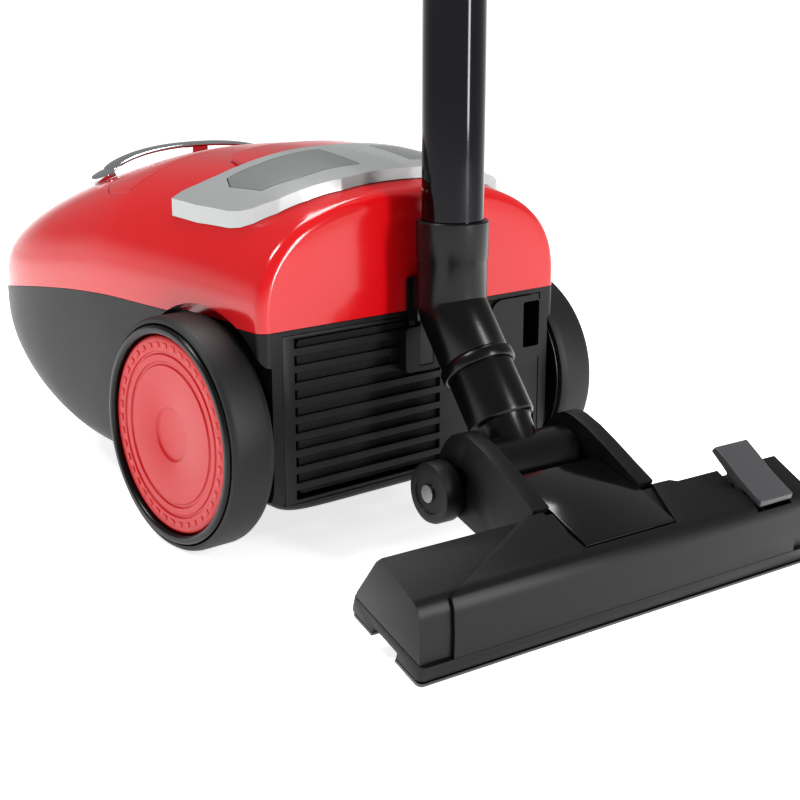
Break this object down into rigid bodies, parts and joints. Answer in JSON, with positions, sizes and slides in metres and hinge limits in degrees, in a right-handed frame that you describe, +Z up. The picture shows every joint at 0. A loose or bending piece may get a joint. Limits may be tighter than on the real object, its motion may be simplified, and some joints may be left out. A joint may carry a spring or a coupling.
{
  "type": "canister vacuum cleaner",
  "caption": "Canister vacuum cleaner with large rear wheels, telescopic tube and floor head parked upright on its back.",
  "frame": {"origin": "on the floor under the centre of the whole object, tube and head parked", "axes": "+X across the canister to its right, +Y towards the nose, +Z up"},
  "size_m": [0.292, 0.5698, 0.8],
  "materials": {
    "housing_plastic": "fine-grained moulded black ABS",
    "red_shell": "polished red ABS",
    "hub_red": "satin red ABS with turned rings",
    "silver_plastic": "silver lacquered ABS",
    "pedal_grey": "satin silver-grey ABS",
    "chrome": "bright chromed",
    "tube_chrome": "dark-reflecting chromed steel tube",
    "black_gloss": "semi-gloss black ABS",
    "tyre_rubber": "soft-touch black rubber",
    "seal_rubber": "black rubber",
    "castor_grey": "grey nylon",
    "steel": "turned steel",
    "filter": "white filter fleece",
    "bag_paper": "two-ply filter paper",
    "cardboard": "stiff card",
    "winding": "copper winding and steel fan",
    "board_green": "solder-masked board",
    "bristle": "black nylon bristle",
    "lifter_red": "red thread-lifting pile"
  },
  "bodies": {
    "canister": {"lower_housing": "housing_plastic", "upper_shell": "red_shell", "bay_frame": "housing_plastic", "control_panel": "silver_plastic", "carry_handle": "chrome", "rear_grille": "housing_plastic", "cable_outlet": "housing_plastic", "parking_bracket": "housing_plastic", "exhaust_filter": "filter", "left_stub_axle": "steel", "right_stub_axle": "steel", "motor_housing": "steel", "motor_mount": "seal_rubber", "motor_filter": "filter", "reel_spindle": "steel", "circuit_board": "board_green", "power_switch": "black_gloss", "dust_bag": "bag_paper", "bag_collar": "cardboard", "hose_socket": "black_gloss", "hose_seal": "seal_rubber"},
    "lid": {"dust_lid": "red_shell"},
    "latch": {"lid_latch": "red_shell"},
    "power_button": {"power_pedal": "pedal_grey"},
    "rewind_button": {"rewind_pedal": "pedal_grey"},
    "left_rear_wheel": {"left_wheel": "black_gloss", "left_tyre": "tyre_rubber", "left_hub_cap": "hub_red"},
    "right_rear_wheel": {"right_wheel": "black_gloss", "right_tyre": "tyre_rubber", "right_hub_cap": "hub_red"},
    "castor": {"castor_fork": "housing_plastic", "castor_axle": "steel"},
    "castor_roller": {"castor_wheel": "castor_grey"},
    "rotor": {"motor_rotor": "winding"},
    "reel": {"cord_reel": "castor_grey"},
    "reel_brake": {"brake_lever": "castor_grey"},
    "wand": {"elbow": "black_gloss", "swivel_ring": "black_gloss", "parking_hook": "black_gloss", "lower_tube": "tube_chrome", "tube_clamp": "black_gloss"},
    "extension": {"upper_tube": "tube_chrome"},
    "tube_release": {"clamp_button": "castor_grey"},
    "neck": {"swivel_neck": "black_gloss"},
    "head": {"head_cover": "black_gloss", "front_cover": "black_gloss", "centre_panel": "black_gloss", "head_base": "housing_plastic", "sole_plate": "chrome", "left_thread_lifter": "lifter_red", "right_thread_lifter": "lifter_red", "pedal_pin": "steel", "left_head_axle": "steel", "right_head_axle": "steel"},
    "rocker": {"rocker_pedal": "castor_grey"},
    "brush": {"brush_strip": "bristle"},
    "left_small_wheel": {"left_head_wheel": "tyre_rubber"},
    "right_small_wheel": {"right_head_wheel": "tyre_rubber"}
  },
  "joints": [
    {"name": "lid_hinge", "type": "hinge", "parent": "canister", "child": "lid", "pos_m": [0.00396, 0.0657, 0.2167], "axis": [1, 0, 0], "range_deg": [0, 70]},
    {"name": "latch_press", "type": "slide", "parent": "canister", "child": "latch", "axis": [0, 0, -1], "range_m": [0, 0.002], "stiffness_N_per_m": 900, "springref_m": -0.001},
    {"name": "power_press", "type": "slide", "parent": "canister", "child": "power_button", "axis": [0, 0, -1], "range_m": [0, 0.002], "stiffness_N_per_m": 1200, "springref_m": -0.001},
    {"name": "rewind_press", "type": "slide", "parent": "canister", "child": "rewind_button", "axis": [0, 0, -1], "range_m": [0, 0.002], "stiffness_N_per_m": 1200, "springref_m": -0.001},
    {"name": "left_wheel_spin", "type": "hinge", "parent": "canister", "child": "left_rear_wheel", "pos_m": [-0.13804, -0.0324, 0.0676], "axis": [1, 0, 0], "continuous": true},
    {"name": "right_wheel_spin", "type": "hinge", "parent": "canister", "child": "right_rear_wheel", "pos_m": [0.14596, -0.0324, 0.0676], "axis": [1, 0, 0], "continuous": true},
    {"name": "castor_swivel", "type": "hinge", "parent": "canister", "child": "castor", "pos_m": [0.00396, 0.1526, 0.0128], "axis": [0, 0, 1], "continuous": true},
    {"name": "castor_roll", "type": "hinge", "parent": "castor", "child": "castor_roller", "pos_m": [0.00396, 0.1446, 0.0128], "axis": [1, 0, 0], "continuous": true},
    {"name": "motor_spin", "type": "hinge", "parent": "canister", "child": "rotor", "pos_m": [-0.04404, -0.0324, 0.078], "axis": [0, 1, 0], "continuous": true},
    {"name": "reel_spin", "type": "hinge", "parent": "canister", "child": "reel", "pos_m": [0.03896, -0.0204, 0.088], "axis": [1, 0, 0], "continuous": true},
    {"name": "brake_lift", "type": "hinge", "parent": "canister", "child": "reel_brake", "pos_m": [0.03896, -0.0004, 0.142], "axis": [-1, 0, 0], "range_deg": [0, 6]},
    {"name": "park_lift", "type": "slide", "parent": "canister", "child": "wand", "axis": [0, 0, 1], "range_m": [0, 0.12]},
    {"name": "tube_extend", "type": "slide", "parent": "wand", "child": "extension", "axis": [0, 0, 1], "range_m": [0, 0.28]},
    {"name": "release_slide", "type": "slide", "parent": "wand", "child": "tube_release", "axis": [0, 0, 1], "range_m": [0, 0.006], "stiffness_N_per_m": 300, "springref_m": -0.001},
    {"name": "neck_swivel", "type": "hinge", "parent": "wand", "child": "neck", "pos_m": [-0.00165, -0.17939, 0.05768], "axis": [0.0551, 0.6228, 0.7804], "range_deg": [-40, 40]},
    {"name": "head_pitch", "type": "hinge", "parent": "neck", "child": "head", "pos_m": [-0.00165, -0.17939, 0.05768], "axis": [0.9961, -0.0882, 0], "range_deg": [-35, 20]},
    {"name": "rocker_tilt", "type": "hinge", "parent": "head", "child": "rocker", "pos_m": [0.09566, -0.2596, 0.04613], "axis": [-0.9961, 0.0882, 0], "range_deg": [0, 10]},
    {"name": "brush_drop", "type": "slide", "parent": "head", "child": "brush", "axis": [0.0264, 0.2979, -0.9542], "range_m": [0, 0.005]},
    {"name": "left_small_wheel_spin", "type": "hinge", "parent": "head", "child": "left_small_wheel", "pos_m": [-0.04246, -0.16407, 0.04887], "axis": [0.9961, -0.0882, 0], "continuous": true},
    {"name": "right_small_wheel_spin", "type": "hinge", "parent": "head", "child": "right_small_wheel", "pos_m": [0.04122, -0.17147, 0.04887], "axis": [0.9961, -0.0882, 0], "continuous": true}
  ],
  "couplings": [
    {"joint": "brush_drop", "follows": "rocker_tilt", "m_per_rad": 0.02865},
    {"joint": "brake_lift", "follows": "rewind_press", "rad_per_m": 47.997}
  ]
}
